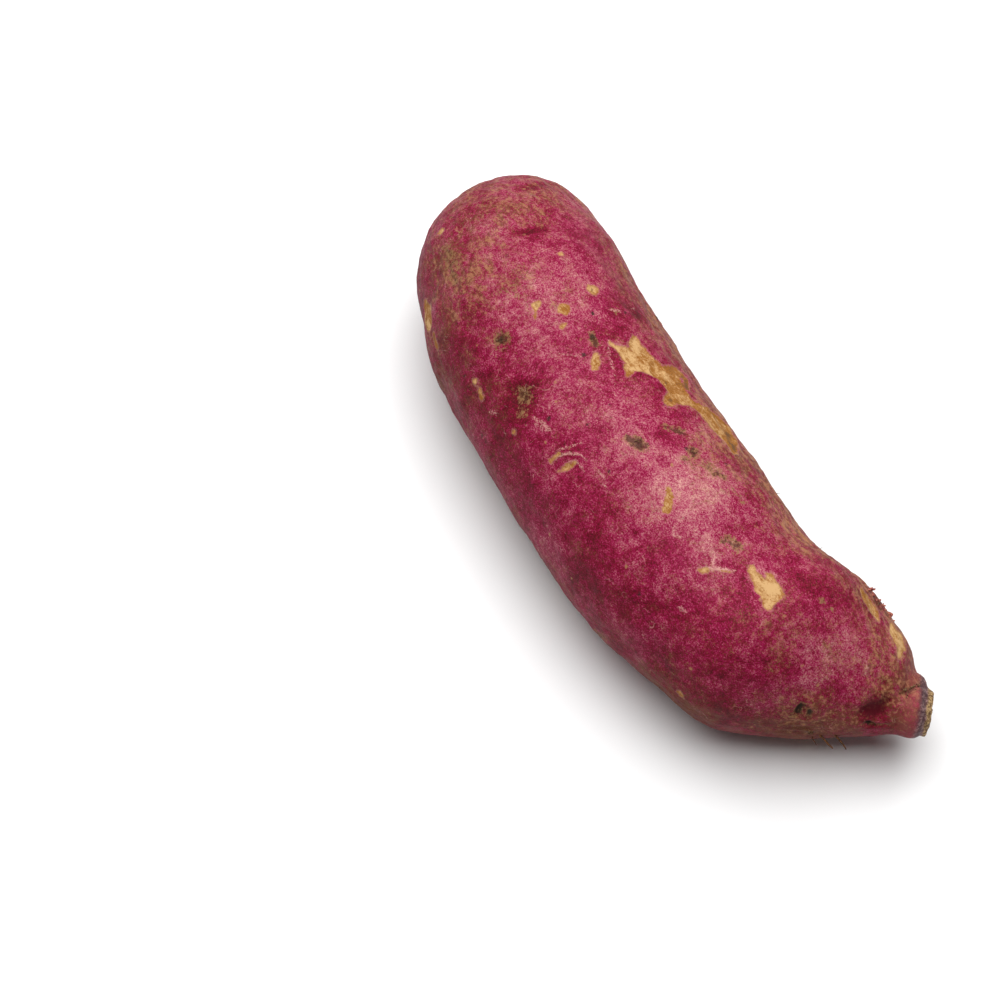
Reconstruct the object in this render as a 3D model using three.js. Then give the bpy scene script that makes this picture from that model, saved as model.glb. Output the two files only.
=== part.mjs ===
// One whole sweet potato, lying on its side as picked, in millimetres with +Z up.
//
// The root is one grown piece: a thick, slightly bowed body with a blunt round end at -X, a shallow
// waist, a swollen shoulder, and at +X the short stub of the stem that it was cut from. Its skin is
// lofted through hoops that stand across the root, one after another, from the round end to the cut.
// The underside is a little flattened where the root bears on the ground it lies on.

import * as THREE from "three";

// Driving dimensions.
const LENGTH = 172; // round tip to the cut face of the stem
const BELLY = 53; // full width at the thickest place
const BOW = 14.4; // how far the middle of the root bows out to -Y

// How finely the skin is divided.
const FACETS_AROUND = 40;
const STEPS_PER_HOOP = 3;
const STEPS_IN_NOSE = 6;
const CUT_FACE_RING = 0.5; // radius of the one ring inside the cut face, as a share of the face's own

// The hoops, from the round end to the cut face of the stem.
//   at     distance from the round tip, as a share of LENGTH
//   bow    sideways place of the hoop's centre, as a share of BOW towards -Y
//   wide   full width, as a share of BELLY
//   plump  height over width
//   turn   degrees that the hoop is turned about Z, towards +Y
//   clear  millimetres of air under it; below zero the skin bears on the ground and is pressed flat
const HOOPS = [
  { at: 0.138, bow: -0.07, wide: 0.925, plump: 0.955, turn: -11, clear: 0.5 },
  { at: 0.22, bow: 0.27, wide: 1.006, plump: 0.955, turn: -8, clear: -0.5 },
  { at: 0.336, bow: 0.57, wide: 0.997, plump: 0.955, turn: -8, clear: -0.6 },
  { at: 0.458, bow: 0.785, wide: 1.003, plump: 0.95, turn: -7, clear: -0.6 },
  { at: 0.566, bow: 0.944, wide: 1.0, plump: 0.945, turn: -5, clear: -0.5 },
  { at: 0.656, bow: 0.98, wide: 0.992, plump: 0.945, turn: -2, clear: -0.5 },
  { at: 0.737, bow: 0.93, wide: 0.93, plump: 0.95, turn: 3, clear: -0.4 },
  { at: 0.813, bow: 0.722, wide: 0.894, plump: 0.955, turn: 9, clear: -0.5 },
  { at: 0.856, bow: 0.34, wide: 0.8, plump: 0.955, turn: 15, clear: -0.2 },
  { at: 0.902, bow: 0.0, wide: 0.622, plump: 0.96, turn: 20, clear: 2.4 },
  { at: 0.943, bow: -0.25, wide: 0.428, plump: 0.98, turn: 26, clear: 6.2 },
  { at: 0.967, bow: -0.35, wide: 0.287, plump: 1.0, turn: 31, clear: 9.0 },
  { at: 0.984, bow: -0.49, wide: 0.249, plump: 1.03, turn: 38, clear: 10.0 },
  { at: 1.0, bow: -0.61, wide: 0.17, plump: 1.1, turn: 45, clear: 10.6 },
];

// The round tip, where the nose that closes the first hoop ends.
const TIP = { bow: -0.6, height: 21 };

// Broad swellings and hollows that keep the root from being a plain tube.
//   at      share of LENGTH from the round tip
//   around  degrees about the root's own axis, 0 on top and 90 on the +Y side
//   rise    millimetres, below zero for a hollow
//   long    half length in millimetres
//   broad   half breadth in degrees
const SWELLS = [
  { at: 0.3, around: 20, rise: 0.7, long: 22, broad: 45 },
  { at: 0.52, around: 40, rise: 0.6, long: 16, broad: 35 },
  { at: 0.72, around: 20, rise: -1.1, long: 11, broad: 50 },
  { at: 0.84, around: -25, rise: 0.9, long: 12, broad: 45 },
  { at: 0.45, around: 160, rise: 0.7, long: 24, broad: 40 },
  { at: 0.66, around: -140, rise: 0.8, long: 18, broad: 35 },
];

const smooth = (a, b, c, d, t) =>
  0.5 *
  (2 * b +
    (c - a) * t +
    (2 * a - 5 * b + 4 * c - d) * t * t +
    (3 * b - a - 3 * c + d) * t * t * t);

// The hoop at place `step` along the list, with fractions read from the smooth curve between hoops.
function hoopAt(step) {
  const last = HOOPS.length - 1;
  const i = Math.min(Math.floor(step), last - 1);
  const t = step - i;
  const hoop = {};
  for (const key of Object.keys(HOOPS[0])) {
    const b = HOOPS[i][key];
    const c = HOOPS[i + 1][key];
    const a = i > 0 ? HOOPS[i - 1][key] : 2 * b - c;
    const d = i + 2 <= last ? HOOPS[i + 2][key] : 2 * c - b;
    hoop[key] = smooth(a, b, c, d, t);
  }
  return hoop;
}

// The centre, half sizes and turn of the section at place `step`; below zero it is in the round nose.
function sectionAt(step) {
  const hoop = hoopAt(Math.max(step, 0));
  const halfWidth = (hoop.wide * BELLY) / 2;
  const halfHeight = halfWidth * hoop.plump;
  const centre = new THREE.Vector3(
    hoop.at * LENGTH,
    -hoop.bow * BOW,
    halfHeight + hoop.clear,
  );
  if (step < 0) {
    const tip = new THREE.Vector3(0, -TIP.bow * BOW, TIP.height);
    centre.lerp(tip, Math.sin((-step * Math.PI) / 2));
  }
  return { centre, halfWidth, halfHeight, turn: THREE.MathUtils.degToRad(hoop.turn) };
}

// How far the skin stands out from its hoop at one place, in millimetres.
function swellAt(along, degreesAround) {
  let rise = 0;
  for (const swell of SWELLS) {
    const far = (along - swell.at * LENGTH) / swell.long;
    const turned = THREE.MathUtils.euclideanModulo(degreesAround - swell.around + 180, 360) - 180;
    rise += swell.rise * Math.exp(-far * far - (turned / swell.broad) ** 2);
  }
  return rise;
}

// A straight spindle of radius 1 about the Y axis: its height counts hoops, and both its ends are closed.
function spindle() {
  const profile = [];
  for (let i = 0; i < STEPS_IN_NOSE; i += 1) {
    const angle = (i / STEPS_IN_NOSE) * (Math.PI / 2);
    profile.push(new THREE.Vector2(Math.sin(angle), (2 * angle) / Math.PI - 1));
  }
  const steps = (HOOPS.length - 1) * STEPS_PER_HOOP;
  for (let i = 0; i <= steps; i += 1) {
    profile.push(new THREE.Vector2(1, i / STEPS_PER_HOOP));
  }
  const cutFace = HOOPS.length - 1;
  profile.push(new THREE.Vector2(CUT_FACE_RING, cutFace));
  profile.push(new THREE.Vector2(0, cutFace));
  return new THREE.LatheGeometry(profile, FACETS_AROUND);
}

// The spindle drawn out into the root: each of its points is moved on to the skin.
function rootGeometry() {
  const geometry = spindle();
  const points = geometry.attributes.position;
  for (let i = 0; i < points.count; i += 1) {
    const across = -points.getX(i);
    const above = points.getZ(i);
    const { centre, halfWidth, halfHeight, turn } = sectionAt(points.getY(i));
    const angle = Math.atan2(across, above);
    const share = Math.hypot(across, above);
    const swell = share * swellAt(centre.x, THREE.MathUtils.radToDeg(angle));
    const sideways = across * halfWidth + swell * Math.sin(angle);
    const upward = above * halfHeight + swell * Math.cos(angle);
    points.setXYZ(
      i,
      centre.x - Math.sin(turn) * sideways,
      centre.y + Math.cos(turn) * sideways,
      Math.max(centre.z + upward, 0),
    );
  }
  geometry.computeBoundingBox();
  const { min, max } = geometry.boundingBox;
  geometry.translate(-(min.x + max.x) / 2, -(min.y + max.y) / 2, -min.z);
  geometry.computeVertexNormals();
  return geometry;
}

const skin = new THREE.MeshStandardMaterial({
  color: new THREE.Color(0.6, 0.22, 0.36),
  roughness: 0.7,
  metalness: 0,
});

const root = new THREE.Mesh(rootGeometry(), skin);
root.name = "tuber";

const sweetPotato = new THREE.Group();
sweetPotato.name = "sweet_potato";
sweetPotato.add(root);

export default sweetPotato;
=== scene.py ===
"""A whole purple-skinned sweet potato, lying on its side, dressed for close views.

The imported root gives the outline. A fine skin is drawn over it row by row, then lumps, creases, scrapes,
root eyes and the cut stem are worked into it, and the same marks steer the colours of its finish. Sizes
are in millimetres until they are put into a mesh, which is in metres.
"""

import logging
import math
import random
from dataclasses import dataclass
from enum import Enum

import bmesh
import bpy
import numpy as np
from mathutils import Matrix, Vector, noise
from mathutils.bvhtree import BVHTree


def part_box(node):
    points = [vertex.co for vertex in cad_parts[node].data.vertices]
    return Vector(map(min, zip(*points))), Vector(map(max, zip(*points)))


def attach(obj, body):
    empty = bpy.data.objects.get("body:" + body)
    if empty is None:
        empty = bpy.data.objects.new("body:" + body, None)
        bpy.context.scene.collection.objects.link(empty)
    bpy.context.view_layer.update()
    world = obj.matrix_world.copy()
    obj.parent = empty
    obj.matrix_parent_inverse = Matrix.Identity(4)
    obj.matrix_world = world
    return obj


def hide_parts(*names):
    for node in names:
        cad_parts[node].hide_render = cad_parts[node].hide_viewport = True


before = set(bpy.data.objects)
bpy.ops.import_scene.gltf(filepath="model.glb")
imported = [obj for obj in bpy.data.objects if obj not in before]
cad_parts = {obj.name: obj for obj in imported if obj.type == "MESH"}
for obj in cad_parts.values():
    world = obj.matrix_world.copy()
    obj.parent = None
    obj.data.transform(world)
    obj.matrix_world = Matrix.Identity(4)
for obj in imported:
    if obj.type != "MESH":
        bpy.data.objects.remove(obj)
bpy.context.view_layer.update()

LOG = logging.getLogger("sweet_potato")
MM = 0.001
BODY = "root"

Mesh = bmesh.types.BMesh
Socket = bpy.types.NodeSocket
Pair = tuple[float, float]
Triple = tuple[float, float, float]
Colour = Triple
Stroke = tuple[Triple, ...]


# ----------------------------------------------------------------------------------------------- helpers


def smoothstep(low: float, high: float, values: np.ndarray) -> np.ndarray:
    """Ease from 0 at low to 1 at high.

    Args:
        low: Where the result is 0.
        high: Where the result is 1; it may be less than low.
        values: The numbers to ease.

    Returns:
        Numbers from 0 to 1.
    """
    t = np.clip((values - low) / (high - low), 0.0, 1.0)
    return t * t * (3.0 - 2.0 * t)


def bell(values: np.ndarray, width: float) -> np.ndarray:
    """A smooth hump of height 1 at zero that has faded at about twice its width."""
    return np.exp(-((values / width) ** 2))


def grain(points: np.ndarray, size: float, shift: float = 0.0, octaves: int = 1) -> np.ndarray:
    """Smooth noise in space.

    Args:
        points: Places in millimetres, one per row.
        size: Rough width of one lump, in millimetres.
        shift: Moves the pattern, so that two calls differ.
        octaves: How many layers it has, each finer than the last.

    Returns:
        One number per place, mostly from -1 to 1.
    """
    result = np.empty(len(points))
    for i, (x, y, z) in enumerate(points):
        place = Vector((x / size + shift, y / size - shift, z / size + 2.0 * shift))
        if octaves == 1:
            result[i] = noise.noise(place)
        else:
            result[i] = noise.fractal(place, 0.9, 2.0, octaves)
    return result


def object_from(name: str, bm: Mesh) -> bpy.types.Object:
    """Turn a finished bmesh into an object of the scene and free the bmesh.

    Args:
        name: The piece's name.
        bm: Its shape, in metres, in place.

    Returns:
        The new object, smooth shaded.
    """
    mesh = bpy.data.meshes.new(name)
    for face in bm.faces:
        face.smooth = True
    bm.to_mesh(mesh)
    bm.free()
    made = bpy.data.objects.new(name, mesh)
    bpy.context.scene.collection.objects.link(made)
    return made


# ----------------------------------------------------------------------------------------- packed outline


@dataclass
class PackedRoot:
    """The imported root's outside as one smooth closed surface, with the line through its middle."""

    node_name: str = "tuber"
    smooth_levels: int = 2
    slices: int = 60
    slice_margin: float = 2.4  # how far inside the two ends the first and last slices stand
    slice_half: float = 0.75  # half a slice's thickness, as a share of the step between slices

    def __post_init__(self) -> None:
        """Measure the node, smooth it and slice it."""
        low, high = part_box(self.node_name)
        self.low = Vector(low) / MM
        self.high = Vector(high) / MM
        self.shell = self._smooth_shell()
        self.tree = BVHTree.FromBMesh(self.shell)
        self.stations, self.middles = self._slice_middles()

    @property
    def length(self) -> float:
        """Length along X, in millimetres."""
        return self.high.x - self.low.x

    def _smooth_shell(self) -> Mesh:
        """Copy the node, merge its loose triangles and round off its facets, in millimetres."""
        bm = bmesh.new()
        bm.from_mesh(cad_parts[self.node_name].data)
        bmesh.ops.remove_doubles(bm, verts=bm.verts, dist=1e-6)
        bmesh.ops.join_triangles(
            bm, faces=bm.faces, angle_face_threshold=math.pi, angle_shape_threshold=math.pi
        )
        copy = object_from("shell_copy", bm)
        rounding = copy.modifiers.new("round", "SUBSURF")
        rounding.levels = rounding.render_levels = self.smooth_levels
        shell = bmesh.new()
        shell.from_object(copy, bpy.context.evaluated_depsgraph_get())
        shell.transform(Matrix.Scale(1.0 / MM, 4))
        mesh = copy.data
        bpy.data.objects.remove(copy)
        bpy.data.meshes.remove(mesh)
        return shell

    def _slice_middles(self) -> tuple[np.ndarray, np.ndarray]:
        """Find the middle of the root in slices across X.

        Returns:
            The slices' X, and the (Y, Z) of each one's middle.
        """
        places = np.array([vertex.co for vertex in self.shell.verts])
        ends = self.low.x + self.slice_margin, self.high.x - self.slice_margin
        stations = np.linspace(*ends, self.slices)
        half = (stations[1] - stations[0]) * self.slice_half
        middles = []
        for x in stations:
            near = places[np.abs(places[:, 0] - x) < half]
            middles.append((near.min(axis=0) + near.max(axis=0))[1:] / 2.0)
        return stations, np.array(middles)

    def middle(self, x: float) -> Vector:
        """The point at this X on the line through the middle."""
        y, z = (float(np.interp(x, self.stations, column)) for column in self.middles.T)
        return Vector((x, y, z))

    def out_from(self, start: Vector, direction: Vector) -> Vector:
        """The place where a ray from inside the root meets its skin."""
        hit = self.tree.ray_cast(start, direction)[0]
        return hit if hit is not None else self.tree.find_nearest(start)[0]

    def place(self, along: float, around: float) -> tuple[Vector, Vector]:
        """Find a place on the skin.

        Args:
            along: Millimetres along X from the round tip.
            around: Degrees about the root, 0 on top and 90 on the +Y side.

        Returns:
            The place and the skin's direction outwards there.
        """
        angle = math.radians(around)
        start = self.middle(self.low.x + along)
        spot = self.out_from(start, Vector((0.0, math.sin(angle), math.cos(angle))))
        return spot, self.tree.find_nearest(spot)[1]


# ------------------------------------------------------------------------------------------------ marks


class MarkKind(Enum):
    """What happened to the skin at a mark."""

    SCRAPE = "skin gone and dry flesh showing"
    SOIL = "dark stain rubbed into the skin"
    EYE = "small dark hollow where a hair root grew"
    SCRATCH = "fine pale line"
    # painted darker, partly as the shade that gathers inside the hollow
    BRUISE_AND_HOLLOW_SHADE = "hollow where the skin is darker and redder"


BEYOND = -9.0  # how far inside a mark a place counts as, where the mark doesn't reach at all
THROUGH = 12.0  # a mark stays on its own side: it ends this far behind or before its middle
LIP_SHARE = 0.3  # how high the lip round a scrape or an eye stands, as a share of its depth


@dataclass(frozen=True)
class Mark:
    """One mark on the skin, drawn with strokes of a round brush that changes in width.

    A stroke is a run of dabs. Each dab has its place along the root and round it, measured from the
    mark's own middle, and its radius, all in millimetres. One number stands for a single dab.
    """

    kind: MarkKind
    along: float  # millimetres from the round tip
    around: float  # degrees, 0 on top and 90 on the +Y side
    strokes: float | tuple[Stroke, ...]
    depth: float = 0.0  # millimetres pressed in; below zero it stands out
    tone: float = 0.5  # scrape: 0 cream to 1 dark ochre; other marks: strength
    soft: float = 1.0  # millimetres over which the edge of a stain, eye or bruise fades
    ragged: float = 0.3  # millimetres that the edge wanders, except a scratch's

    def reach(self, root: PackedRoot, points: np.ndarray) -> np.ndarray:
        """How far inside the mark each place is.

        Args:
            root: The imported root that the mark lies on.
            points: Places in millimetres, one per row.

        Returns:
            Millimetres inside the mark's edge, below zero outside it.
        """
        spot, out = root.place(self.along, self.around)
        lengthwise = (Vector((1.0, 0.0, 0.0)) - out * out.x).normalized()
        offsets = points - np.array(spot)
        u = offsets @ np.array(lengthwise)
        v = offsets @ np.array(out.cross(lengthwise))
        single = isinstance(self.strokes, float)
        strokes = (((0.0, 0.0, self.strokes),),) if single else self.strokes
        found = np.full(len(points), BEYOND)
        for stroke in strokes:
            for (u0, v0, r0), (u1, v1, r1) in zip(stroke, stroke[1:] or stroke):
                span = max((u1 - u0) ** 2 + (v1 - v0) ** 2, 1e-9)
                t = np.clip(((u - u0) * (u1 - u0) + (v - v0) * (v1 - v0)) / span, 0.0, 1.0)
                away = np.hypot(u - u0 - t * (u1 - u0), v - v0 - t * (v1 - v0))
                found = np.maximum(found, r0 + t * (r1 - r0) - away)
        behind = np.abs(offsets @ np.array(out)) - THROUGH
        return np.where(behind > 0.0, BEYOND, found)

    def strength(self, inside: np.ndarray) -> np.ndarray:
        """How strongly the mark colours each place, given how far inside it the place is."""
        low, high = (-0.45, 0.15) if self.kind is MarkKind.SCRATCH else (-self.soft, self.soft)
        return self.tone * smoothstep(low, high, inside)

    def relief(self, inside: np.ndarray) -> np.ndarray:
        """How far the mark makes each place stand out, in millimetres.

        Args:
            inside: How far inside the mark each place is.

        Returns:
            The heights, below zero where the skin is pressed in.
        """
        if self.kind is MarkKind.SCRAPE:
            lip = LIP_SHARE * self.depth * bell(inside + 0.55, 0.45)
            return lip - self.depth * smoothstep(-0.2, 0.5, inside)
        if self.kind is MarkKind.SCRATCH:
            return -self.depth * smoothstep(-0.5, 0.1, inside)
        pressed = self.depth * smoothstep(-self.soft, self.soft, inside)
        if self.kind is MarkKind.EYE:
            return LIP_SHARE * abs(self.depth) * bell(inside + 1.0, 0.5) - pressed
        return -pressed


def strewn(seed: int, count: int, radius: Pair, settings: tuple[float, ...]) -> tuple[tuple, ...]:
    """Rows of marks, strewn over the underside and the side that is turned away.

    Args:
        seed: Fixes their places and shapes.
        count: How many there are.
        radius: The least and the most half width, in millimetres.
        settings: The depth, tone, softness and raggedness that they share.

    Returns:
        The rows, in the form of the tables below.
    """
    rng = random.Random(seed)
    rows = []
    for _ in range(count):
        wide = rng.uniform(*radius)
        long = wide * rng.uniform(0.5, 2.8)
        slant = wide * rng.uniform(-1.2, 1.2)
        stroke = ((-long, -slant, wide * 0.5), (0.0, 0.0, wide), (long, slant, wide * 0.6))
        rows.append((rng.uniform(14.0, 158.0), rng.uniform(96.0, 262.0), (stroke,), *settings))
    return tuple(rows)


# A row is a mark's along, around, strokes or radius, depth, tone, soft and ragged, as Mark names them.
# The last ones may be left out.

SCRAPES = (
    # the long scrape on the upper side: its pale upper end, its ochre run, and its dark edges
    (72.0, 22.0, (
        ((-5.0, -2.4, 0.35), (-3.0, -1.4, 1.0), (0.0, 0.0, 2.4), (3.0, 0.5, 2.2), (6.0, 3.2, 1.9)),
        ((-4.0, 4.6, 0.9), (-1.8, 3.3, 2.0), (1.5, 3.6, 2.3), (4.5, 4.6, 2.2)),
        ((2.0, -1.2, 1.5), (4.1, -4.0, 0.6)),
    ), 0.3, 0.3, 1.0, 0.55),
    (86.0, 32.0, (
        ((-8.0, 2.2, 2.6), (-5.0, 3.2, 3.4), (-2.0, 2.6, 2.9), (0.6, 1.6, 2.2)),
        ((-6.8, 6.4, 2.0), (-5.6, 8.6, 1.0)),
        ((-0.5, 0.6, 1.8), (0.9, -2.6, 1.5)),
        ((1.0, 3.0, 1.7), (3.6, 4.6, 1.6), (6.5, 6.3, 3.0), (10.0, 7.6, 4.0), (13.5, 7.2, 2.8)),
        ((13.5, 7.2, 2.8), (17.5, 5.6, 1.0)),
    ), 0.3, 0.62, 1.0, 0.6),
    (86.0, 32.0, (
        ((-5.2, 8.6, 0.7), (-1.8, 6.2, 0.8)),
        ((12.5, 9.0, 0.8), (17.0, 6.6, 0.8)),
    ), 0.1, 1.25, 1.0, 0.5),
    # the cream patch on top of the waist
    (134.0, 0.5, (
        ((-3.4, 0.0, 0.85), (-1.6, -0.8, 0.9), (1.4, -0.4, 1.9), (4.2, -0.7, 1.9), (5.5, -2.7, 1.1)),
        ((0.4, 2.4, 1.0), (2.0, 1.2, 1.4), (4.6, 0.8, 1.3)),
    ), 0.28, 0.26, 1.0, 0.6),
    # two tapering streaks on the shoulder
    (148.5, 54.0, (((-3.2, -0.6, 0.6), (-1.0, 0.0, 1.8), (1.8, 0.6, 1.8), (3.0, 0.4, 1.2)),), 0.2, 0.45),
    (156.5, 56.5, (
        ((-2.6, 0.6, 0.8), (-0.3, 0.4, 2.0), (2.0, 0.0, 1.8), (4.9, -1.4, 0.35)),
    ), 0.2, 0.2, 1.0, 0.25),
    # smaller ones
    (107.4, -8.0, (((-1.9, 1.6, 0.6), (-0.2, 0.6, 0.9), (1.7, -1.9, 0.8)),), 0.12, 0.55, 1.0, 0.5),
    (124.3, -18.0, (
        ((-0.3, -0.3, 0.4), (0.6, 0.9, 0.8)),
        ((1.2, 1.4, 0.25), (2.6, 3.2, 0.18), (4.6, 5.0, 0.12)),
    ), 0.1, 0.2, 1.0, 0.25),
    (34.0, -74.8, (((-2.2, 0.2, 0.5), (0.5, 0.0, 1.0), (2.0, -0.2, 0.5)),), 0.1, 0.9, 1.0, 0.4),
    (25.6, -75.0, (((-3.4, 0.0, 1.2), (0.0, 0.0, 2.5), (3.0, -0.4, 1.5)),), 0.15, 0.5, 1.0, 0.4),
    (69.0, 2.5, (((-1.1, 1.0, 0.6), (0.6, -0.2, 1.3), (1.4, -1.0, 1.0)),), 0.15, 0.35, 1.0, 0.35),
    (85.0, -41.0, (((-0.6, -2.2, 0.3), (0.2, -0.2, 0.8), (0.8, 2.0, 0.4)),), 0.25, 0.3, 1.0, 0.2),
    (81.5, -43.0, (((-0.5, -1.6, 0.4), (0.1, 1.2, 0.5)),), 0.2, 0.35, 1.0, 0.2),
    (52.8, 22.5, 1.45, 0.1),
    (54.2, 2.0, 1.6, 0.1, 0.55, 1.0, 0.4),
    (57.5, -2.7, 0.8, 0.1, 0.4, 1.0, 0.2),
    (49.6, -10.5, (((-0.3, 0.2, 1.0), (1.5, -1.5, 0.4), (2.6, -2.2, 0.25)),), 0.08, 0.4, 1.0, 0.25),
    (13.1, -41.0, 1.0, 0.15, 0.35, 1.0, 0.2),
    (40.9, 16.0, 0.55, 0.1, 0.25, 1.0, 0.2),
    (51.6, -60.4, 0.8, 0.1, 0.4, 1.0, 0.2),
    (54.5, -61.0, (((-0.6, 0.2, 0.5), (1.2, -0.4, 0.8)),), 0.1, 0.45, 1.0, 0.2),
    (68.7, -55.5, 0.6, 0.1, 0.4, 1.0, 0.15),
    (137.8, -88.0, 0.9, 0.1, 0.6),
    (159.1, -79.0, 0.5, 0.1, 0.7, 1.0, 0.1),
) + strewn(3, 11, (0.5, 1.5), (0.15, 0.45, 1.0, 0.4))

SOIL = (
    (49.8, -35.5, 2.0, 0.2, 0.8, 2.0),
    (64.1, -40.0, 1.9, 0.35, 0.8, 2.2),
    (67.0, -46.0, 1.6, 0.0, 0.4, 2.2),
    (23.0, -44.0, (((-4.0, 1.5, 1.4), (0.0, 0.4, 2.2), (5.5, -1.0, 1.2)),), 0.0, 0.6, 2.8),
    (42.3, -18.8, 2.6, 0.0, 0.36, 3.0),
    (64.2, 8.0, (((-1.7, 0.6, 0.5), (1.6, -0.6, 0.8)),), 0.15, 0.95, 0.8),
    (91.8, -3.5, (((-2.2, -1.0, 0.8), (0.0, 0.0, 1.5), (2.2, 0.8, 1.0)),), 0.2, 0.95, 0.9),
    (94.0, 18.7, (((-1.6, -1.2, 0.7), (1.5, 1.2, 1.0)),), 0.2, 0.8, 1.2),
    (100.9, 20.6, 1.4, 0.2, 0.85, 1.4),
    (101.8, 14.0, 1.1, 0.2, 0.75, 1.4),
    (106.0, 21.0, (((-0.8, 0.2, 1.2), (1.6, 1.2, 1.8), (3.8, 2.6, 1.0)),), 0.1, 0.6, 1.6),
    (106.0, 21.0, (((6.6, 2.0, 0.8), (10.0, 3.2, 0.9)),), 0.0, 0.45, 1.4),
    (123.3, 5.5, (((-1.2, -0.8, 1.0), (1.0, 0.8, 1.4)),), 0.25, 0.8, 1.5),
    (60.0, 28.3, 0.9, 0.0, 0.5, 1.2),
    (144.8, 17.0, 0.7, 0.0, 0.7, 0.9),
    (146.7, 16.3, (((-0.4, -0.8, 0.2), (0.4, 1.0, 0.25)),), 0.0, 0.75, 0.6),
    (157.4, -61.0, (((-0.3, -1.8, 0.7), (0.3, 1.5, 0.9)),), 0.5, 0.95),
    (159.0, -63.5, (((-0.3, -1.0, 0.5), (0.3, 1.2, 0.6)),), 0.4, 0.9, 0.8),
    (160.4, -92.0, 0.9, -0.3, 0.95, 0.9),
    (168.4, -60.0, (((-2.0, -0.9, 0.3), (0.0, -0.5, 0.4), (2.4, 0.4, 0.3)),), 0.6, 0.9, 0.7),
    # the crease round the neck of the stub
    (167.4, 32.0, (((-0.3, -2.2, 0.2), (0.0, 0.0, 0.6), (0.1, 4.0, 0.9)),), 1.1, 0.9, 0.9),
    (120.0, 150.0, 3.0, 0.3, 0.6, 3.0),
    (60.0, -120.0, 2.4, 0.3, 0.7, 2.4),
    (88.0, 120.0, 2.0, 0.3, 0.7, 2.2),
) + strewn(5, 12, (0.8, 2.0), (0.2, 0.75, 1.8))

EYES = (
    (92.6, -2.9, 0.7, 0.4, 0.6, 0.8, 0.35),
    (52.9, 22.8, 0.55, 0.3, 0.55, 0.6),
    (54.3, 2.2, 0.4, 0.25, 0.4, 0.6),
    (58.5, 15.2, 0.5, 0.3, 0.8, 0.5),
    (63.8, 8.6, 0.9, 0.3, 0.75, 0.9),
    (49.4, -10.2, 0.4, 0.2, 0.6, 0.5),
    (112.9, -8.6, 0.3, 0.2, 0.5, 0.6),
    (83.1, -7.6, 0.3, 0.2, 0.55, 0.5),
    (28.5, -46.6, 0.4, 0.1, 0.7, 0.5),
    (14.6, 12.0, 0.35, 0.1, 0.55, 0.5),
    (124.1, -34.7, 0.6, 0.25, 0.55, 0.6),
    (128.1, -40.4, 0.5, 0.25, 0.5, 0.6),
    (49.6, -35.5, 1.1, 0.3, 0.5, 1.0, 0.4),
    (157.5, -61.0, (((0.0, -1.3, 0.45), (0.2, 1.2, 0.6)),), 0.8, 0.95, 0.7),
    (159.0, -63.0, (((-0.2, -0.8, 0.3), (0.1, 1.0, 0.4)),), 0.5, 0.9, 0.6),
    (167.5, -62.5, 0.7, 0.6, 1.0, 0.6, 0.2),
    (165.7, -4.1, 0.6, 0.5, 0.7, 0.9),
    (133.0, 0.3, 0.3, 0.1, 0.5, 0.4),
    (60.4, 69.2, 0.9, -0.5, 0.7, 0.8),
) + strewn(7, 12, (0.35, 0.8), (0.45, 0.75, 0.8))

SCRATCHES = (
    (124.0, -11.0, (
        ((-4.2, 2.9, 0.1), (-2.3, 2.0, 0.25), (0.3, 0.8, 0.35), (1.2, -0.2, 0.25)),
    ), -0.1, 0.75),
    (124.0, -11.0, (((0.4, -2.0, 0.3), (2.7, 0.6, 0.4), (5.0, 2.9, 0.15)),), -0.1, 0.8),
    (71.0, 14.0, (((-4.5, 1.2, 0.15), (-1.0, -1.2, 0.2), (3.6, -3.2, 0.15)),), -0.1, 0.6),
    (84.0, -36.0, (((-2.6, -2.9, 0.1), (-0.6, 0.2, 0.2), (1.6, 1.9, 0.2), (3.6, 2.1, 0.05)),), -0.25, 0.8),
    (84.0, -36.0, (((-3.4, -1.6, 0.05), (-1.6, 1.4, 0.15), (-0.2, 4.0, 0.05)),), -0.15, 0.7),
    (84.0, -36.0, (((0.2, -1.4, 0.1), (2.2, 0.4, 0.2), (5.0, -0.2, 0.05)),), -0.15, 0.65),
    (93.4, -28.6, (((-2.0, 0.2, 0.1), (0.0, 0.3, 0.25), (2.2, -0.6, 0.1)),), -0.1, 0.6),
    (93.4, -31.0, (((-1.6, 0.2, 0.1), (2.6, -0.4, 0.1)),), -0.1),
    (73.2, -39.3, (((-2.8, -0.7, 0.2), (0.0, 0.2, 0.4), (2.8, 0.5, 0.2)),), -0.1, 0.7),
    (73.2, -41.5, (((-1.8, -0.4, 0.1), (2.2, 0.5, 0.15)),), -0.1, 0.6),
    (64.5, -7.3, (((-2.2, -1.8, 0.12), (0.2, 0.3, 0.15), (2.0, 1.9, 0.12)),), 0.15),
    (59.8, 29.3, (((-0.6, -1.2, 0.2), (0.3, 1.2, 0.3)),), -0.1, 0.7),
    (112.5, -7.6, (((0.7, -1.3, 0.25), (-0.6, 1.5, 0.3)),), -0.1, 0.6),
    (114.3, -15.5, (((-1.0, 0.6, 0.2), (0.2, -0.9, 0.3), (1.6, 0.2, 0.25)),), -0.1, 0.6),
    (127.9, -40.8, (((-0.9, 0.0, 0.2), (0.9, 0.2, 0.2)),), -0.1, 0.8),
    (61.0, -60.0, (((-1.0, -0.8, 0.3), (0.8, 0.6, 0.3)),), 0.0, 0.7),
) + strewn(11, 12, (0.15, 0.35), (-0.1, 0.7))

# Hollows and patches painted darker and redder. Where a row is pressed in, the dark is partly painted shade
# of the hollow.
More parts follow.
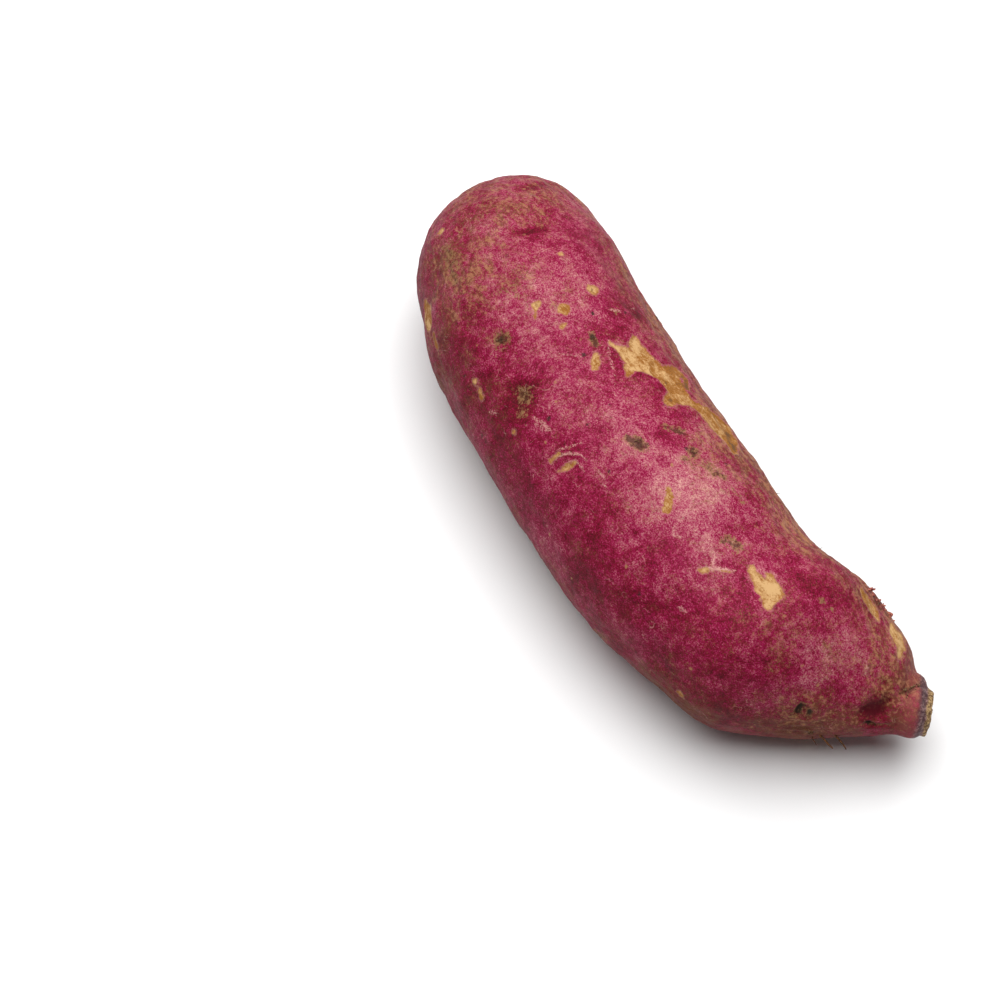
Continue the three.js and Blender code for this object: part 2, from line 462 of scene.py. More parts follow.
BRUISES_AND_HOLLOW_SHADE = (
    (30.6, 7.8, (((-1.2, -2.5, 0.7), (0.2, 0.0, 1.3), (1.6, 2.8, 0.8)),), 0.25, 1.3, 2.1),
    (32.5, 8.5, 1.6, 0.0, 0.8, 2.6),
    (17.5, 26.4, (((-0.6, -3.0, 0.8), (0.4, 2.6, 1.2)),), 0.25, 1.1, 2.2),
    (51.0, -33.0, 2.6, 0.2, 0.8, 2.6),
    (63.5, -40.5, 3.4, 0.2, 1.0, 2.0),
    (62.0, 44.0, 2.0, 0.0, 0.7, 3.0),
    (84.0, -36.0, 3.0, 0.0, 0.5, 3.0),
    (94.5, 12.0, 3.0, 0.0, 0.7, 3.0),
    (133.2, 2.6, 0.5, 0.0, 1.2, 0.6),
    # the deep hollow beside the stub, and the crease that runs up from it; their dark is partly painted
    # shade
    (167.0, -36.0, (((-1.4, -1.4, 1.7), (0.3, 0.8, 2.1), (0.4, 3.4, 0.9)),), 1.25, 1.7, 1.5),
    (165.0, -6.0, (((0.6, -2.8, 0.35), (0.0, 0.0, 0.45), (-0.9, 3.0, 0.25)),), 0.6, 1.2, 0.8),
    (40.0, 150.0, 4.0, 0.5, 0.9, 3.0),
    (112.0, -125.0, 4.0, 0.5, 0.9, 3.0),
) + strewn(9, 9, (1.2, 2.6), (0.3, 0.9, 2.4))

MARKS = tuple(
    Mark(kind, *row)
    for kind, rows in zip(MarkKind, (SCRAPES, SOIL, EYES, SCRATCHES, BRUISES_AND_HOLLOW_SHADE))
    for row in rows
)


class CloudKind(Enum):
    """How the skin's colour drifts over a wide patch."""

    BLOOM = "paler and pinker"
    RUSSET = "browner, with dry dust"
    # partly painted shade: most of these clouds darken the lower -Y side for the shade that falls there
    DEEP_AND_SHADE = "darker and redder"


@dataclass(frozen=True)
class Cloud:
    """A wide, soft drift of colour round one place on the skin."""

    kind: CloudKind
    along: float  # millimetres from the round tip
    around: float  # degrees, 0 on top and 90 on the +Y side
    radius: float
    strength: float
    fade: float = 10.0

    def cover(self, root: PackedRoot, points: np.ndarray) -> np.ndarray:
        """The cloud's strength at each place, from 0 up.

        Args:
            root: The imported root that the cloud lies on.
            points: Places in millimetres, one per row.

        Returns:
            Numbers from 0 to the cloud's strength.
        """
        spot = np.array(root.place(self.along, self.around)[0])
        away = np.linalg.norm(points - spot, axis=1)
        return self.strength * smoothstep(self.radius + self.fade, self.radius - self.fade, away)


# A row is a cloud's along, around, radius, strength and fade, as Cloud names them.

BLOOMS = (
    (110.0, 8.0, 9.0, 1.0), (93.0, -4.0, 9.0, 0.55), (76.0, -12.0, 9.0, 0.3), (55.0, 6.0, 9.0, 0.35),
    (38.0, 0.0, 9.0, 0.5), (47.0, 12.0, 6.0, 0.5, 6.0), (15.0, 22.0, 5.0, 0.45, 5.0),
    (22.0, 4.0, 6.0, 0.3, 6.0), (124.0, -12.0, 7.0, 0.4), (157.0, -5.0, 6.0, 0.3),
    (70.0, 170.0, 14.0, 0.5), (110.0, -150.0, 12.0, 0.5), (45.0, 120.0, 10.0, 0.5),
)

RUSSETS = (
    (34.0, -24.0, 8.0, 0.45), (23.0, 4.0, 7.0, 0.65, 8.0), (6.0, 0.0, 14.0, 0.55, 12.0),
    (20.0, 48.0, 9.0, 0.6), (20.0, -46.0, 9.0, 0.8), (36.0, -76.0, 12.0, 0.4), (56.0, -74.0, 10.0, 0.3),
    (34.0, -36.0, 8.0, 0.35), (101.0, 26.0, 5.0, 0.55, 6.0), (163.0, 40.0, 8.0, 0.85),
    (160.0, -80.0, 9.0, 0.9), (150.0, -20.0, 7.0, 0.35), (136.0, -105.0, 10.0, 0.75),
    (90.0, -130.0, 12.0, 0.5), (50.0, -140.0, 12.0, 0.6), (130.0, 160.0, 12.0, 0.7), (171.0, 0.0, 6.0, 0.5),
) + tuple(
    # a tan band along the +Y side, which the camera sees at a grazing angle: partly dust, partly painted
    # sheen of the paler rim
    (along, around + 6.0 * math.sin(along), 12.0, strength, 11.0)
    for along, around, strength in (
        (26.0, 79.0, 0.35), (40.0, 79.0, 0.4), (54.0, 79.0, 0.55), (68.0, 78.0, 0.7),
        (82.0, 75.0, 0.8), (95.0, 71.0, 0.9), (108.0, 68.0, 1.0), (121.0, 67.0, 1.0),
        (133.0, 70.0, 0.95), (146.0, 76.0, 0.8), (158.0, 79.0, 0.7),
    )
)

# Darker, redder clouds. Most lie along the lower -Y side, near -60 degrees, and are painted shade; the rest
# darken single patches of skin.
DEEPS_AND_SHADE = (
    (20.0, -66.0, 10.0, 0.6), (16.0, -34.0, 9.0, 0.5), (44.0, -70.0, 12.0, 0.8), (64.0, -64.0, 12.0, 1.0),
    (84.0, -62.0, 9.0, 1.0, 8.0), (101.0, -56.0, 10.0, 0.9, 8.0), (122.0, -62.0, 11.0, 0.8),
    (142.0, -80.0, 12.0, 0.6), (76.0, 52.0, 5.0, 0.5, 6.0), (60.0, 52.0, 6.0, 0.3, 6.0),
    (148.0, 30.0, 9.0, 0.15),
)

CLOUDS = tuple(
    Cloud(kind, *row) for kind, rows in zip(CloudKind, (BLOOMS, RUSSETS, DEEPS_AND_SHADE)) for row in rows
)


# ------------------------------------------------------------------------------------------ sub-assemblies


@dataclass
class SubAssembly:
    """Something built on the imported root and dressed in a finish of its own."""

    root: PackedRoot

    def dress(self, piece: bpy.types.Object, material: bpy.types.Material) -> None:
        """Give a piece its finish, hang it on the body and report it.

        Args:
            piece: The piece.
            material: Its finish.
        """
        piece.data.materials.append(material)
        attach(piece, BODY)
        LOG.info("%s: %d faces", piece.name, len(piece.data.polygons))


@dataclass
class Tuber(SubAssembly):
    """The root itself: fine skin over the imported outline, with its lumps, creases, marks and cut stem."""

    cells_across: int = 70  # on each of the four sides
    row_step: float = 0.6
    nose_centre: float = 23.5  # from the round tip, where the rays to the rounded end start
    nose_stretch: float = 0.3  # extra rows for the rounded end, as a share of nose_centre
    stub_centre: float = 6.0  # from the stem end
    cut_turn: float = 45.0  # degrees from +X towards +Y that the cut face looks
    turn_start: float = 0.86  # share of the straight part where the rows begin to turn to the cut
    cut_radius: float = 4.7
    cut_layer: float = 0.6  # how thick a slice behind the front still counts as the cut face
    settle_rounds: int = 6
    shoulder: Pair = (159.0, 66.0)  # along and around of the full place beside the stub
    shoulder_rise: float = 1.1
    shoulder_spread: float = 6.5
    wrinkle_rise: float = 0.4

    def build(self) -> None:
        """Draw the skin, work the marks into it and store the fields that its finish reads."""
        bm, rows = self._block()
        self._wrap(bm, rows)
        self._settle(bm)
        bm.normal_update()
        bm.verts.ensure_lookup_table()
        points = np.array([vertex.co for vertex in bm.verts])
        normals = np.array([vertex.normal for vertex in bm.verts])
        fields = self._fields(points)
        height = self._lumps(points) + fields.pop("height")
        points = points + normals * height[:, None]
        points[:, 2] = np.maximum(points[:, 2], 0.0)
        for vertex, place in zip(bm.verts, points):
            vertex.co = place * MM
        skin = object_from("sweet_potato_skin", bm)
        for name, values in fields.items():
            layer = skin.data.attributes.new(name, "FLOAT", "POINT")
            layer.data.foreach_set("value", values.astype(np.float32))
        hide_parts("tuber")
        self.dress(skin, SkinFinish().material())

    def _block(self) -> tuple[Mesh, int]:
        """Cut a cube into the cells that become the skin.

        Returns:
            The block from -1 to 1 on each axis, and how many rows of cells it has along X.
        """
        rows = round((self.root.length + self.nose_centre * self.nose_stretch) / self.row_step)
        bm = bmesh.new()
        bmesh.ops.create_cube(bm, size=2.0)
        lengthwise = [e for e in bm.edges if abs(e.verts[0].co.x - e.verts[1].co.x) > 1.0]
        bmesh.ops.subdivide_edges(bm, edges=lengthwise, cuts=rows - 1, use_grid_fill=True)
        across = [e for e in bm.edges if abs(e.verts[0].co.x - e.verts[1].co.x) < 1e-3]
        bmesh.ops.subdivide_edges(bm, edges=across, cuts=self.cells_across - 1, use_grid_fill=True)
        return bm, rows

    def _wrap(self, bm: Mesh, rows: int) -> None:
        """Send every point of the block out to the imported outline.

        Args:
            bm: The block, which becomes the skin in millimetres.
            rows: Its number of rows along X.
        """
        eighth = math.pi / 4.0
        nose_rows = round(self.nose_centre * eighth / self.row_step)
        stub_rows = round(self.stub_centre * eighth / self.row_step)
        nose_x = self.root.low.x + self.nose_centre
        stub_x = self.root.high.x - self.stub_centre
        for vertex in bm.verts:
            x, y, z = vertex.co
            row = (x + 1.0) / 2.0 * rows
            tilt = 0.0
            if row < nose_rows:
                tilt = -(1.0 - row / nose_rows)
            elif row > rows - stub_rows:
                tilt = (row - (rows - stub_rows)) / stub_rows
            share = min(max((row - nose_rows) / (rows - stub_rows - nose_rows), 0.0), 1.0)
            heading = math.radians(self.cut_turn) * float(smoothstep(self.turn_start, 1.0, share))
            forward, side = math.tan(tilt * eighth), math.tan(y * eighth)
            onward = forward * math.cos(heading) - side * math.sin(heading)
            sideways = forward * math.sin(heading) + side * math.cos(heading)
            ray = Vector((onward, sideways, math.tan(z * eighth)))
            start = self.root.middle(nose_x + share * (stub_x - nose_x))
            vertex.co = self.root.out_from(start, ray.normalized())

    def _settle(self, bm: Mesh) -> None:
        """Even out the cells and lay them back on the outline."""
        for _ in range(self.settle_rounds):
            bmesh.ops.smooth_vert(
                bm, verts=bm.verts, factor=0.5, use_axis_x=True, use_axis_y=True, use_axis_z=True
            )
            for vertex in bm.verts:
                vertex.co = self.root.tree.find_nearest(vertex.co)[0]
        bmesh.ops.recalc_face_normals(bm, faces=bm.faces)

    def _lumps(self, points: np.ndarray) -> np.ndarray:
        """How far the skin's natural unevenness makes each place stand out, in millimetres."""
        broad = grain(points, 22.0, 3.1) * 0.65
        middling = grain(points, 9.0, 7.7) * 0.42
        small = grain(points, 3.6, 1.3) * 0.2
        fine = grain(points, 1.6, 5.9) * 0.09
        away = np.linalg.norm(points - np.array(self.root.place(*self.shoulder)[0]), axis=1)
        return broad + middling + small + fine + bell(away, self.shoulder_spread) * self.shoulder_rise

    def _stem_distance(self, points: np.ndarray) -> np.ndarray:
        """Distance from the rim of the cut face: behind it above zero, and on the face below zero."""
        turn = math.radians(self.cut_turn)
        axis = np.array((math.cos(turn), math.sin(turn), 0.0))
        reach = points @ axis
        behind = reach.max() - reach
        face = points[behind < self.cut_layer / 2.0]
        offset = points - (face.min(axis=0) + face.max(axis=0)) / 2.0
        across = np.linalg.norm(offset - np.outer(offset @ axis, axis), axis=1)
        on_face = behind < self.cut_layer
        return np.where(on_face, np.minimum(across - self.cut_radius, behind), behind)

    def _wrinkles(self, points: np.ndarray, russet: np.ndarray) -> np.ndarray:
        """How far lengthwise wrinkles stand out, which grow where the skin is dry and russet."""
        drawn_out = points * np.array((0.22, 1.0, 1.0))
        return self.wrinkle_rise * russet * (1.0 - 2.0 * np.abs(grain(drawn_out, 2.6, 17.0)))

    def _stub_shape(self, points: np.ndarray, behind: np.ndarray) -> np.ndarray:
        """The swollen lip, the groove and collar behind it, and the dished cut face.

        Args:
            points: Places on the skin in millimetres.
            behind: Distance behind the rim of the cut face, below zero on the face.

        Returns:
            How far each place stands out, in millimetres.
        """
        uneven = 1.0 + 1.1 * grain(points, 2.6, 29.0)
        lip = 0.25 * bell(behind - 0.5, 0.7) * uneven
        groove = -0.25 * bell(behind - 1.5, 0.5) * uneven
        collar = 0.55 * bell(behind - 3.8, 1.8)
        dish = -0.9 * smoothstep(-0.2, -2.6, behind)
        splinters = 0.35 * grain(points, 1.5, 41.0) * smoothstep(3.0, 0.0, behind)
        return lip + groove + collar + dish + splinters

    def _fields(self, points: np.ndarray) -> dict[str, np.ndarray]:
        """Work out every mark's share of height and colour.

        Args:
            points: Places on the skin in millimetres.

        Returns:
            The named fields that the finish reads, and height.
        """
        count = len(points)
        wander = grain(points, 2.6, 11.0, octaves=2)
        bare = np.full(count, -3.0)
        tone = np.full(count, 0.4)
        height = np.zeros(count)
        shown = {kind: np.zeros(count) for kind in MarkKind}
        for mark in MARKS:
            inside = mark.reach(self.root, points)
            if mark.kind is not MarkKind.SCRATCH:
                inside += wander * mark.ragged
            height += mark.relief(inside)
            if mark.kind is MarkKind.SCRAPE:
                weight = smoothstep(-1.6, 1.2, inside)
                tone = tone * (1.0 - weight) + mark.tone * weight
                bare = np.maximum(bare, inside)
            else:
                shown[mark.kind] = np.maximum(shown[mark.kind], mark.strength(inside))
        clear = {kind: np.ones(count) for kind in CloudKind}
        for cloud in CLOUDS:
            clear[cloud.kind] *= 1.0 - cloud.cover(self.root, points)
        russet = 1.0 - clear[CloudKind.RUSSET]
        behind = self._stem_distance(points)
        return {
            "bloom": 1.0 - clear[CloudKind.BLOOM],
            "russet": russet,
            # darker clouds, mostly painted shade on the lower side
            "deep": 1.0 - clear[CloudKind.DEEP_AND_SHADE],
            "bare": bare,
            "bare_tone": tone,
            "soil": shown[MarkKind.SOIL],
            "eye": shown[MarkKind.EYE],
            "scratch": shown[MarkKind.SCRATCH],
            # darker and redder skin, partly painted shade in hollows
            "bruise_and_hollow_shade": shown[MarkKind.BRUISE_AND_HOLLOW_SHADE],
            "stem": behind,
            "height": height + self._wrinkles(points, russet) + self._stub_shape(points, behind),
        }


# ----------------------------------------------------------------------------------------------- finishes


class NodeBench:
    """A material's node tree, with short calls that add nodes and join them."""

    def __init__(self, name: str) -> None:
        """Start a material with an empty tree."""
        self.material = bpy.data.materials.new(name)
        self.material.use_nodes = True
        self.tree = self.material.node_tree
        self.tree.nodes.clear()
        self.coordinates = self.add("ShaderNodeTexCoord").outputs["Object"]

    def add(self, kind: str, **settings: object) -> bpy.types.Node:
        """Add a node and set its properties."""
        node = self.tree.nodes.new(kind)
        for key, value in settings.items():
            setattr(node, key, value)
        return node

    def feed(self, socket: Socket, source: object) -> None:
        """Join an output to a socket, or set the socket to a number or colour."""
        if isinstance(source, Socket):
            self.tree.links.new(source, socket)
        elif isinstance(source, tuple) and len(source) == 3 and socket.type == "RGBA":
            socket.default_value = (*source, 1.0)
        else:
            socket.default_value = source

    def field(self, name: str, amount: float = 1.0) -> Socket:
        """A number stored on the mesh, times an amount."""
        value = self.add("ShaderNodeAttribute", attribute_name=name).outputs["Fac"]
        return value if amount == 1.0 else self.times(value, amount)

    def _mapped(self, shift: Triple, scale: Triple) -> Socket:
        """Object coordinates, moved by a shift in millimetres and scaled."""
        mapping = self.add("ShaderNodeMapping")
        self.feed(mapping.inputs["Vector"], self.coordinates)
        mapping.inputs["Location"].default_value = tuple(value * MM for value in shift)
        mapping.inputs["Scale"].default_value = scale
        return mapping.outputs["Vector"]

    def noise(
        self, size: float, detail: float, rough: float, stretch: Triple = (1.0, 1.0, 1.0),
        shift: float = 0.0, warp: float = 0.0,
    ) -> Socket:
        """Smooth noise in space.

        Args:
            size: Rough width of one lump, in millimetres.
            detail: How many finer layers it has.
            rough: How strong those layers are.
            stretch: Lengthens the lumps on each axis.
            shift: Moves the pattern, in millimetres.
            warp: Twists the pattern.

        Returns:
            Its value, about 0.5 on average.
        """
        node = self.add("ShaderNodeTexNoise")
        scale = tuple(1.0 / (value * size * MM) for value in stretch)
        self.feed(node.inputs["Vector"], self._mapped((shift, -shift, shift * 2.0), scale))
        node.inputs["Scale"].default_value = 1.0
        node.inputs["Detail"].default_value = detail
        node.inputs["Roughness"].default_value = rough
        node.inputs["Distortion"].default_value = warp
        return node.outputs["Fac"]

    def cells(self, size: float, shift: float = 0.0) -> tuple[Socket, Socket]:
        """A pattern of small cells.

        Args:
            size: Their width, in millimetres.
            shift: Moves the pattern, in millimetres.

        Returns:
            The distance from each cell's middle, and a number from 0 to 1 that each cell has of its own.
        """
        node = self.add("ShaderNodeTexVoronoi", feature="F1")
        self.feed(node.inputs["Vector"], self._mapped((shift, shift, -shift), (1.0, 1.0, 1.0)))
        node.inputs["Scale"].default_value = 1.0 / (size * MM)
        lot = self.add("ShaderNodeSeparateColor")
        self.feed(lot.inputs[0], node.outputs["Color"])
        return node.outputs["Distance"], lot.outputs["Red"]

    def math(self, operation: str, first: object, second: object = 0.0) -> Socket:
        """Arithmetic on one or two numbers."""
        node = self.add("ShaderNodeMath", operation=operation)
        self.feed(node.inputs[0], first)
        self.feed(node.inputs[1], second)
        return node.outputs[0]

    def times(self, first: object, second: object) -> Socket:
        """The product of two numbers."""
        return self.math("MULTIPLY", first, second)

    def total(self, *parts: object) -> Socket:
        """The sum of several numbers."""
        result = parts[0]
        for part in parts[1:]:
            result = self.math("ADD", result, part)
        return result

    def swing(self, value: object, amount: float) -> Socket:
        """A pattern's swing about its middle value, times an amount."""
        return self.times(self.math("SUBTRACT", value, 0.5), amount)

    def wave(self, amount: float, size: float, detail: float, rough: float, **rest: float) -> Socket:
        """Noise that swings about zero by an amount; the rest is as noise takes it."""
        return self.swing(self.noise(size, detail, rough, **rest), amount)

    def speckle(self, size: float, soft: float, crisp: float, shift: float) -> Socket:
        """Fine specks about zero: soft ones, and crisp ones that each have a tone of their own.

        Args:
            size: Width of a speck, in millimetres.
            soft: Swing of the soft specks.
            crisp: Swing of the crisp specks.
            shift: Moves the pattern, in millimetres.

        Returns:
            The swing at each place.
        """
        lot = self.cells(size * 0.9, shift)[1]
        return self.total(self.wave(soft, size, 2.0, 0.9, shift=shift), self.swing(lot, crisp))

    def between(
        self, value: object, low: float, high: float, start: float = 0.0, end: float = 1.0
    ) -> Socket:
        """Ease value from start, at low, to end, at high."""
        node = self.add("ShaderNodeMapRange", interpolation_type="SMOOTHSTEP")
        self.feed(node.inputs["Value"], value)
        node.inputs["From Min"].default_value = low
        node.inputs["From Max"].default_value = high
        node.inputs["To Min"].default_value = start
        node.inputs["To Max"].default_value = end
        return node.outputs["Result"]

    def mix(self, amount: object, first: object, second: object) -> Socket:
        """Mix two colours by an amount from 0 to 1."""
        node = self.add("ShaderNodeMix", data_type="RGBA")
        self.feed(node.inputs["Factor"], amount)
        self.feed(node.inputs[6], first)
        self.feed(node.inputs[7], second)
        return node.outputs[2]

    def ramp(self, value: object, stops: tuple[tuple[float, Colour], ...]) -> Socket:
        """Colours that follow one another as value rises; each stop is a value and its colour."""
        node = self.add("ShaderNodeValToRGB")
        self.feed(node.inputs["Fac"], value)
        elements = node.color_ramp.elements
        elements.remove(elements[1])
        elements[0].position = stops[0][0]
        elements[0].color = (*stops[0][1], 1.0)
        for position, colour in stops[1:]:
            elements.new(position).color = (*colour, 1.0)
        return node.outputs["Color"]

    def bump(self, height: object, strength: float, depth: float, under: object = None) -> Socket:
        """Fine relief of that depth in millimetres, over another bump if one is given."""
        node = self.add("ShaderNodeBump")
        node.inputs["Strength"].default_value = strength
        node.inputs["Distance"].default_value = depth * MM
        self.feed(node.inputs["Height"], height)
        if under is not None:
            self.feed(node.inputs["Normal"], under)
        return node.outputs["Normal"]

    def surface(self, colour: object, rough: object, gloss: float, normal: object = None) -> bpy.types.Node:
        """Close the tree with a plain surface.

        Args:
            colour: Its colour.
            rough: Its roughness.
            gloss: Its specular level.
            normal: Its fine relief, if it has any.

        Returns:
            The shader, for what else it needs.
        """
        shader = self.add("ShaderNodeBsdfPrincipled")
        self.feed(shader.inputs["Base Color"], colour)
        self.feed(shader.inputs["Roughness"], rough)
        shader.inputs["Specular IOR Level"].default_value = gloss
        if normal is not None:
            self.feed(shader.inputs["Normal"], normal)
        out = self.add("ShaderNodeOutputMaterial")
        self.feed(out.inputs["Surface"], shader.outputs["BSDF"])
        return shader


@dataclass(frozen=True)
class SkinFinish:
    """Dry purple-red skin: mottled, speckled, stained, and tan where it was scraped."""

    dark: Colour = (0.075, 0.003, 0.008)
    deep: Colour = (0.165, 0.003, 0.016)
    magenta: Colour = (0.28, 0.004, 0.058)
    pink: Colour = (0.415, 0.114, 0.145)
    pale: Colour = (0.58, 0.29, 0.25)
    tan: Colour = (0.35, 0.17, 0.075)
    brown: Colour = (0.13, 0.045, 0.018)
    soil: Colour = (0.07, 0.028, 0.013)
    crust: Colour = (0.28, 0.145, 0.065)
    eye: Colour = (0.03, 0.018, 0.012)
    cream: Colour = (0.56, 0.34, 0.15)
    ochre: Colour = (0.28, 0.105, 0.019)
    bark: Colour = (0.12, 0.06, 0.03)
    scratch: Colour = (0.62, 0.33, 0.28)
    neck: Colour = (0.35, 0.085, 0.09)
    band: Colour = (0.07, 0.04, 0.048)
    band_fibre: Colour = (0.3, 0.19, 0.18)
    rim: Colour = (0.5, 0.33, 0.15)
    dry_wood: Colour = (0.17, 0.1, 0.055)
    pith: Colour = (0.36, 0.24, 0.13)
    stops: tuple[float, ...] = (0.02, 0.22, 0.44, 0.7, 1.0)  # where dark to pale stand on the ramp
    gloss: float = 0.1
    lengthwise: Triple = (7.0, 1.0, 1.0)  # how dry streaks are drawn out
    flecks: tuple[tuple[float, float, Colour], ...] = ((5.0, 0.62, tan), (6.5, 0.66, eye))

    def material(self) -> bpy.types.Material:
        """Build the finish, which reads the fields stored on the skin."""
        bench = NodeBench("sweet_potato_skin")
        colour, bare = self._marks(bench, self._skin_colour(bench))
        rough = bench.between(bench.noise(3.0, 4.0, 0.7, shift=9.0), 0.3, 0.7, 0.5, 0.68)
        rough = bench.total(rough, bench.times(bare, 0.12))
        pores = bench.bump(bench.noise(0.5, 2.0, 0.7, shift=2.0), 0.6, 0.14)
        ripples = bench.bump(bench.noise(1.6, 3.0, 0.6), 0.5, 0.3, pores)
        dry = bench.times(bench.field("russet"), bench.noise(0.8, 3.0, 0.6, self.lengthwise, 19.0))
        relief = bench.bump(dry, 0.7, 0.5, ripples)
        bench.surface(self._stem(bench, colour), rough, self.gloss, relief)
        return bench.material

    def _skin_colour(self, bench: NodeBench) -> Socket:
        """Mottled skin without its marks, darker towards the bottom and along the lower side, partly as
        painted shade.

        Args:
            bench: The material's nodes.

        Returns:
            Its colour.
        """
        split = bench.add("ShaderNodeSeparateXYZ")
        bench.feed(split.inputs[0], bench.coordinates)
        # Painted shade: low rises towards the floor and makes the skin darker, browner and less pale there,
        # partly for the shade under the root and partly for its deeper colour below.
        low = bench.between(split.outputs["Z"], 0.034, 0.01)
        tone = bench.total(
            0.4,
            bench.wave(0.6, 20.0, 2.0, 0.6, shift=4.0),
            bench.wave(0.62, 6.5, 3.0, 0.66, shift=31.0, warp=0.4),
            bench.wave(0.75, 2.2, 3.0, 0.75, shift=52.0, warp=0.3),
            bench.field("bloom", 0.26),
            # darker in hollows and bruises, partly painted shade
            bench.field("bruise_and_hollow_shade", -0.3),
            # painted shade on the lower side, from the darker clouds
            bench.field("deep", -0.17),
            # painted shade: darker towards the bottom
            bench.times(low, -0.27),
            bench.speckle(0.3, 1.1, 0.34, 12.0),
        )
        stops = tuple(zip(self.stops, (self.dark, self.deep, self.magenta, self.pink, self.pale)))
        streaks = bench.noise(1.3, 3.0, 0.65, self.lengthwise, 19.0)
        dust = bench.total(
            0.01,
            bench.wave(1.4, 7.0, 3.0, 0.72, shift=120.0, warp=0.4),
            bench.wave(0.9, 2.2, 3.0, 0.7, shift=170.0),
            bench.field("russet", 0.62),
            bench.times(bench.field("russet"), bench.swing(streaks, 1.6)),
            # less dust in bruises and shaded hollows
            bench.field("bruise_and_hollow_shade", -0.25),
            # browner towards the bottom: dust, and painted shade
            bench.times(low, 0.2),
            bench.speckle(0.34, 1.3, 0.4, 90.0),
        )
        pallor = bench.total(
            bench.noise(1.1, 3.0, 0.8, shift=61.0),
            # less pale towards the bottom, partly painted shade
            bench.times(low, -0.18),
            # painted shade on the lower side, from the darker clouds
            bench.field("deep", -0.14),
            bench.times(bench.field("russet"), bench.swing(streaks, 0.9)),
        )
        hue = bench.mix(bench.between(pallor, 0.4, 0.62), self.brown, self.tan)
        return bench.mix(bench.between(dust, 0.0, 0.75, 0.0, 0.85), bench.ramp(tone, stops), hue)

    def _marks(self, bench: NodeBench, colour: Socket) -> tuple[Socket, Socket]:
        """Stains, scratches, scrapes and eyes, laid over the skin.

        Args:
            bench: The material's nodes.
            colour: The skin's colour.

        Returns:
            The marked colour, and how bare the skin is.
        """
        crumbs = bench.noise(0.8, 4.0, 0.75, shift=21.0)
        colour = self._stains(bench, colour, crumbs)
        line = bench.total(bench.field("scratch"), bench.speckle(0.4, 2.2, 0.4, 51.0))
        line = bench.times(bench.between(line, 0.3, 0.9), bench.between(bench.field("scratch"), 0.05, 0.3))
        colour = bench.mix(bench.times(line, 0.75), colour, self.scratch)
        colour = self._flecks(bench, self._threads(bench, colour))
        wander = bench.total(bench.wave(2.0, 1.3, 4.0, 0.75), bench.speckle(0.42, 0.6, 0.2, 17.0))
        inside = bench.total(bench.field("bare"), wander)
        bare = bench.between(inside, -0.15, 0.2)
        lip = bench.times(bench.between(inside, -0.5, -0.08), bench.between(inside, 0.1, -0.02))
        colour = bench.mix(bench.times(lip, 0.22), colour, self.scratch)
        colour = bench.mix(bare, colour, self._flesh(bench, inside))
        eye = bench.total(bench.field("eye"), bench.swing(crumbs, 1.6))
        eye = bench.between(eye, 0.3, 0.62, 0.0, 0.92)
        eye = bench.times(eye, bench.between(bench.field("eye"), 0.02, 0.2))
        return bench.mix(eye, colour, self.eye), bare

    def _stains(self, bench: NodeBench, colour: Socket, crumbs: Socket) -> Socket:
        """Soil rubbed into the skin: dark, with paler crust at its crumbs, and broken at its edge."""
        crust = bench.between(bench.total(crumbs, bench.field("soil", -0.3), 0.2), 0.46, 0.6)
        broken = bench.total(
            bench.wave(2.0, 1.5, 4.0, 0.75, shift=63.0),
            bench.speckle(0.5, 1.2, 0.3, 140.0),
            bench.field("soil"),
        )
        stain = bench.between(broken, 0.2, 0.62, 0.0, 0.85)
        stain = bench.times(stain, bench.between(bench.field("soil"), 0.02, 0.2))
        return bench.mix(stain, colour, bench.mix(crust, self.soil, self.crust))

    def _flesh(self, bench: NodeBench, inside: Socket) -> Socket:
        """Dry flesh under a scrape: cream to ochre to bark, and ochre round its rim."""
        fibre = bench.noise(1.1, 5.0, 0.75, (2.4, 0.8, 0.8), 44.0)
        depth = bench.total(
            bench.field("bare_tone"),
            bench.swing(fibre, 1.9),
            bench.wave(2.2, 3.0, 3.0, 0.7, shift=72.0),
            bench.speckle(0.4, 1.2, 0.25, 29.0),
        )
        flesh = bench.mix(bench.between(depth, 0.0, 0.8), self.cream, self.ochre)
        flesh = bench.mix(bench.between(depth, 0.8, 1.25, 0.0, 0.85), flesh, self.bark)
        return bench.mix(bench.between(inside, 0.7, 0.0, 0.0, 0.6), flesh, self.ochre)

    def _threads(self, bench: NodeBench, colour: Socket) -> Socket:
        """Fine pale fibres that wander over the skin in broken lines."""
        course = bench.math("ABSOLUTE", bench.math("SUBTRACT", bench.noise(5.0, 2.0, 0.6, shift=201.0), 0.5))
        here = bench.between(bench.noise(6.5, 3.0, 0.6, shift=240.0), 0.54, 0.66)
        thread = bench.times(bench.between(course, 0.008, 0.002), here)
        return bench.mix(bench.times(thread, 0.45), colour, self.scratch)

    def _flecks(self, bench: NodeBench, colour: Socket) -> Socket:
        """Small tan and dark flecks, strewn thinly."""
        rough_edge = bench.wave(0.3, 0.6, 3.0, 0.8, shift=5.0)
        for size, spare, paint in self.flecks:
            away, lot = bench.cells(size)
            fleck = bench.between(bench.total(away, rough_edge), 0.1, 0.05, 0.0, 0.8)
            fleck = bench.times(fleck, bench.between(lot, spare, spare + 0.04))
            colour = bench.mix(fleck, colour, paint)
        return colour

